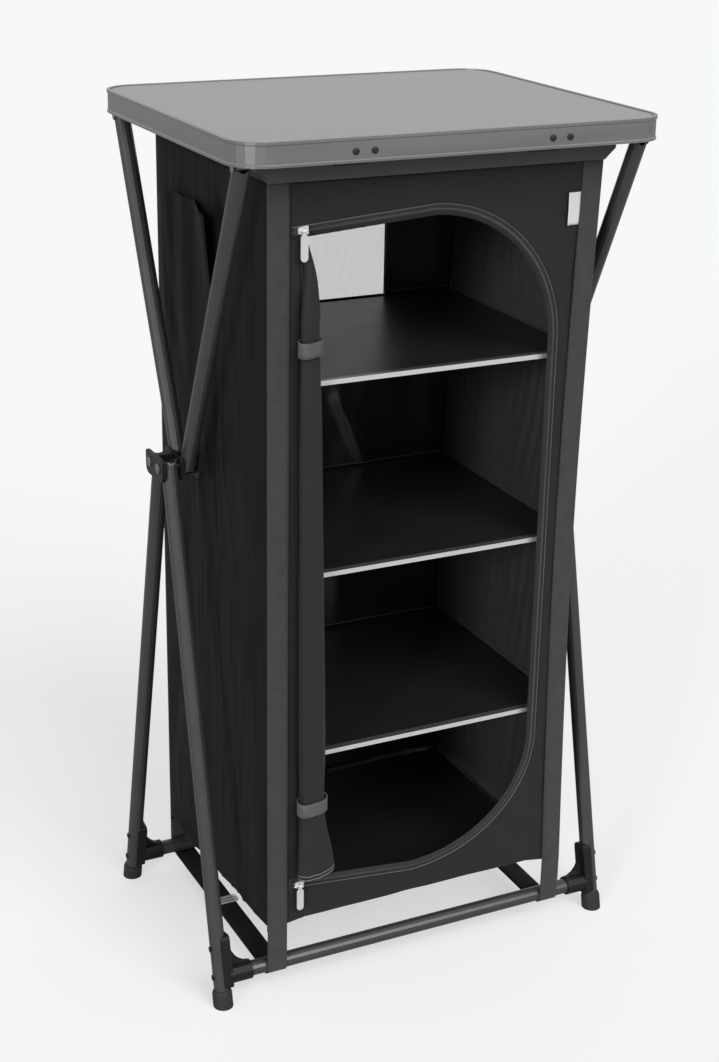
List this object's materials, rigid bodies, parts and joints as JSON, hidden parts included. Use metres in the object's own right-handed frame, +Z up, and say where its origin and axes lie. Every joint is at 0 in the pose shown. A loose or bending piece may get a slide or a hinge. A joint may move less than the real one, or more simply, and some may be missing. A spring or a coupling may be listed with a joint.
{
  "type": "folding camping cupboard",
  "caption": "Folding camp cupboard: splayed tube legs with mid hubs, an edged worktop, and a hung fabric cabinet with shelves and a zipped roll-up door.",
  "frame": {"origin": "on the floor, under the middle of the worktop", "axes": "+Z up, the door opening faces -Y, +X is to the right seen from the front"},
  "size_m": [0.5564, 0.431, 1.04],
  "materials": {
    "laminate": "light grey laminate, matt",
    "brushed_aluminium": "brushed, dark grey anodised",
    "powder_coat": "grey powder coat, satin",
    "black_steel": "black, satin",
    "steel": "plated",
    "black_plastic": "moulded, fine grain",
    "rubber": "matt",
    "black_board": "black coated board",
    "fabric": "woven black polyester",
    "strap_web": "dark grey webbing",
    "zip_tape": "grey coil zip on tape",
    "zinc": "bright die-cast metal",
    "bright_trim": "bright channel"
  },
  "bodies": {
    "hubs": {"hub_left": "black_plastic", "hub_right": "black_plastic", "hub_pin_front_left": "steel", "hub_pin_front_right": "steel", "hub_pin_rear_left": "steel", "hub_pin_rear_right": "steel"},
    "upper_rear_frame": {"upper_rear_leg_left": "powder_coat", "upper_rear_leg_right": "powder_coat", "upper_rear_cross_rod": "steel"},
    "upper_front_frame": {"upper_front_leg_left": "powder_coat", "upper_front_leg_right": "powder_coat", "upper_front_cross_rod": "steel"},
    "lower_front_frame": {"lower_front_leg_left": "powder_coat", "lower_front_leg_right": "powder_coat", "base_rail_front": "powder_coat", "corner_bracket_front_left": "black_plastic", "corner_bracket_front_right": "black_plastic", "foot_front_left": "rubber", "foot_front_right": "rubber", "base_band_left": "strap_web", "base_band_right": "strap_web"},
    "lower_rear_frame": {"lower_rear_leg_left": "powder_coat", "lower_rear_leg_right": "powder_coat", "base_rail_rear": "powder_coat", "corner_bracket_rear_left": "black_plastic", "corner_bracket_rear_right": "black_plastic", "foot_rear_left": "rubber", "foot_rear_right": "rubber"},
    "worktop": {"tabletop_board": "laminate", "tabletop_rim": "brushed_aluminium", "front_clip_left": "black_steel", "front_clip_right": "black_steel", "rear_clip_left": "black_steel", "rear_clip_right": "black_steel", "carrier_board": "black_board", "front_panel": "fabric", "rear_panel": "fabric", "left_wall": "fabric", "right_wall": "fabric", "corner_strap_front_left": "strap_web", "corner_strap_front_right": "strap_web", "corner_strap_rear_left": "strap_web", "corner_strap_rear_right": "strap_web", "door_roll": "fabric", "door_tie_upper": "strap_web", "door_tie_lower": "strap_web", "door_zip": "zip_tape"},
    "top_shelf": {"shelf_board_1": "black_board", "shelf_edge_1": "bright_trim"},
    "second_shelf": {"shelf_board_2": "black_board", "shelf_edge_2": "bright_trim"},
    "third_shelf": {"shelf_board_3": "black_board", "shelf_edge_3": "bright_trim"},
    "floor_board": {"shelf_board_4": "black_board"},
    "upper_zip_end": {"upper_zip_stop": "zinc"},
    "upper_slider": {"upper_zip_slider": "zinc"},
    "upper_puller": {"upper_zip_puller": "zinc"},
    "lower_zip_end": {"lower_zip_stop": "zinc"},
    "lower_slider": {"lower_zip_slider": "zinc"},
    "lower_puller": {"lower_zip_puller": "zinc"}
  },
  "joints": [
    {"name": "fold", "type": "hinge", "parent": "hubs", "child": "upper_rear_frame", "pos_m": [0, 0.014, 0.64], "axis": [1, 0, 0], "range_deg": [-154, 0], "deforming": ["front_panel", "rear_panel", "left_wall", "right_wall", "corner_strap_front_left", "corner_strap_front_right", "corner_strap_rear_left", "corner_strap_rear_right", "door_roll", "door_tie_upper", "door_tie_lower", "door_zip", "base_band_left", "base_band_right"]},
    {"name": "worktop_tip", "type": "hinge", "parent": "upper_rear_frame", "child": "worktop", "pos_m": [0, 0.1798, 1.0095], "axis": [1, 0, 0], "range_deg": [0, 64.01]},
    {"name": "upper_front_fold", "type": "hinge", "parent": "hubs", "child": "upper_front_frame", "pos_m": [0, -0.014, 0.64], "axis": [1, 0, 0], "range_deg": [0, 154.01]},
    {"name": "lower_front_fold", "type": "hinge", "parent": "hubs", "child": "lower_front_frame", "pos_m": [0, -0.014, 0.64], "axis": [1, 0, 0], "range_deg": [0, 12.61]},
    {"name": "lower_rear_fold", "type": "hinge", "parent": "hubs", "child": "lower_rear_frame", "pos_m": [0, 0.014, 0.64], "axis": [1, 0, 0], "range_deg": [-12.61, 0]},
    {"name": "top_shelf_lift", "type": "slide", "parent": "worktop", "child": "top_shelf", "axis": [0, 0, 1], "range_m": [0, 0.208]},
    {"name": "second_shelf_lift", "type": "slide", "parent": "worktop", "child": "second_shelf", "axis": [0, 0, 1], "range_m": [0, 0.4219]},
    {"name": "third_shelf_lift", "type": "slide", "parent": "worktop", "child": "third_shelf", "axis": [0, 0, 1], "range_m": [0, 0.6357]},
    {"name": "floor_board_lift", "type": "slide", "parent": "worktop", "child": "floor_board", "axis": [0, 0, 1], "range_m": [0, 0.8383]},
    {"name": "upper_zip_lift", "type": "slide", "parent": "worktop", "child": "upper_zip_end", "axis": [0, 0, 1], "range_m": [0, 0.0411]},
    {"name": "upper_slider_travel", "type": "slide", "parent": "upper_zip_end", "child": "upper_slider", "axis": [0.9968, 0, 0.0794], "range_m": [0, 0.14]},
    {"name": "upper_puller_swing", "type": "hinge", "parent": "upper_slider", "child": "upper_puller", "pos_m": [-0.165, -0.17078, 0.938], "axis": [1, 0, 0], "range_deg": [-100, 0]},
    {"name": "lower_zip_lift", "type": "slide", "parent": "worktop", "child": "lower_zip_end", "axis": [0, 0, 1], "range_m": [0, 0.7918]},
    {"name": "lower_slider_travel", "type": "slide", "parent": "lower_zip_end", "child": "lower_slider", "axis": [0.9943, 0, -0.1068], "range_m": [0, 0.12]},
    {"name": "lower_puller_swing", "type": "hinge", "parent": "lower_slider", "child": "lower_puller", "pos_m": [-0.165, -0.17078, 0.146], "axis": [1, 0, 0], "range_deg": [-100, 0]}
  ],
  "couplings": [
    {"joint": "worktop_tip", "follows": "fold", "ratio": -0.41558},
    {"joint": "upper_front_fold", "follows": "fold", "ratio": -1},
    {"joint": "lower_front_fold", "follows": "fold", "ratio": -0.081818},
    {"joint": "lower_rear_fold", "follows": "fold", "ratio": 0.081818},
    {"joint": "top_shelf_lift", "follows": "fold", "m_per_rad": -0.077361},
    {"joint": "second_shelf_lift", "follows": "fold", "m_per_rad": -0.15693},
    {"joint": "third_shelf_lift", "follows": "fold", "m_per_rad": -0.23649},
    {"joint": "floor_board_lift", "follows": "fold", "m_per_rad": -0.31186},
    {"joint": "upper_zip_lift", "follows": "fold", "m_per_rad": -0.015254},
    {"joint": "lower_zip_lift", "follows": "fold", "m_per_rad": -0.29455}
  ]
}
